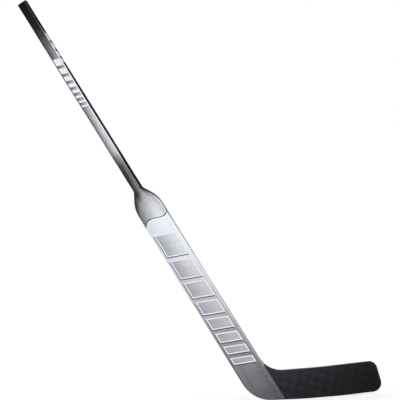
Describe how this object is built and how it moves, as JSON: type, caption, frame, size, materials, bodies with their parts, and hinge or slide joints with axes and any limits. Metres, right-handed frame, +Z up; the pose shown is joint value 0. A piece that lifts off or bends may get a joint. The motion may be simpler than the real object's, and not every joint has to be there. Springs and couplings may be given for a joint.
{
  "type": "hockey goalie stick",
  "caption": "Goalkeeper's hockey stick: slim hollow shaft, flared shoulder, wide flat paddle and a curved, tapering blade set at an angle to the ice.",
  "frame": {"origin": "middle of the sole's flat, on the ice", "axes": "+X along the blade to the toe, +Y from the front face to the back, +Z up from the ice in the playing pose"},
  "size_m": [0.9551, 0.0408, 1.3132],
  "materials": {
    "butt_plug": "moulded black plastic, satin",
    "shaft_laminate": "painted carbon laminate, black fading to silver and back to dark grey, clear coat",
    "paddle_laminate": "painted carbon laminate, icy white fading to grey at the heel, clear coat",
    "edge_rail": "painted edge rail, same fade as the paddle",
    "blade_laminate": "black spread-tow carbon weave, satin",
    "blade_edge": "black resin edge, satin",
    "stringer_laminate": "raw carbon laminate",
    "core_foam": "rigid cream foam",
    "dense_foam": "rigid high-density foam"
  },
  "bodies": {
    "root": {"butt_end_plug": "butt_plug", "shaft_tube": "shaft_laminate", "paddle_spine": "stringer_laminate", "paddle_front_skin": "paddle_laminate", "paddle_back_skin": "paddle_laminate", "heel_side_rail": "edge_rail", "toe_side_rail": "edge_rail", "heel_side_core": "core_foam", "toe_side_core": "core_foam", "heel_block": "dense_foam", "blade_front_skin": "blade_laminate", "blade_back_skin": "blade_laminate", "blade_edge_band": "blade_edge", "blade_spar": "stringer_laminate", "blade_upper_core": "core_foam", "blade_lower_core": "core_foam"}
  },
  "joints": []
}
